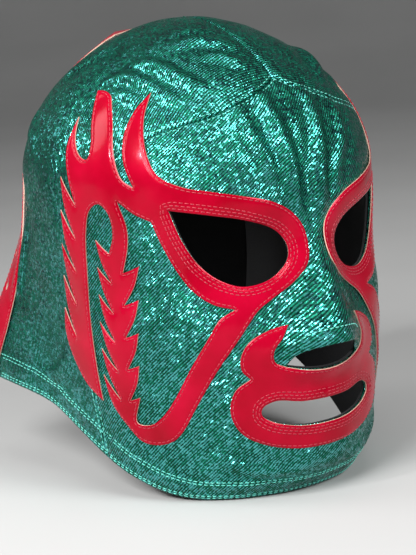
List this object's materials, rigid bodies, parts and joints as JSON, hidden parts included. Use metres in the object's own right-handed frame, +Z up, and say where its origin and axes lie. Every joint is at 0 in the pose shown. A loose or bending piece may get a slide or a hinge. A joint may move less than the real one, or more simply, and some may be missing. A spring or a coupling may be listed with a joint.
{
  "type": "wrestling hood",
  "caption": "Pull-on full-head hood of stretch lame with open eyes, nose and mouth, vinyl flame trims and a laced open back.",
  "frame": {"origin": "middle of the head form that holds the hood, at eye level", "axes": "the face looks along -Y, +X is the wearer's left, +Z is up through the crown"},
  "size_m": [0.1626, 0.2011, 0.2169],
  "materials": {
    "green_lame": "glittering metallic knit with a fine diagonal rib",
    "black_lining": "plain matt knit",
    "red_vinyl": "glossy wet-look vinyl with pale cut edges"
  },
  "bodies": {
    "hood": {"face_panel": "green_lame", "face_lining": "black_lining", "mouth_trim": "red_vinyl", "right_side_panel": "green_lame", "right_side_lining": "black_lining", "right_eye_trim": "red_vinyl", "right_eyelet_strip_upper": "red_vinyl", "left_side_panel": "green_lame", "left_side_lining": "black_lining", "left_eye_trim": "red_vinyl", "left_eyelet_strip_upper": "red_vinyl"},
    "right_flap": {"right_back_flap": "green_lame", "right_flap_lining": "black_lining", "right_eyelet_strip_lower": "red_vinyl"},
    "left_flap": {"left_back_flap": "green_lame", "left_flap_lining": "black_lining", "left_eyelet_strip_lower": "red_vinyl"},
    "tongue": {"back_tongue": "black_lining"}
  },
  "joints": [
    {"name": "right_flap_fold", "type": "hinge", "parent": "hood", "child": "right_flap", "pos_m": [-0.0772, 0.0483, -0.034], "axis": [0.1949, 0.4898, 0.8497], "range_deg": [0, 30], "stiffness_Nm_per_rad": 0.05},
    {"name": "left_flap_fold", "type": "hinge", "parent": "hood", "child": "left_flap", "pos_m": [0.0772, 0.0483, -0.034], "axis": [0.1949, -0.4898, -0.8497], "range_deg": [0, 30], "stiffness_Nm_per_rad": 0.05},
    {"name": "tongue_swing", "type": "hinge", "parent": "hood", "child": "tongue", "pos_m": [0, 0.033, 0.086], "axis": [-1, 0, 0], "range_deg": [0, 15], "stiffness_Nm_per_rad": 0.1}
  ]
}
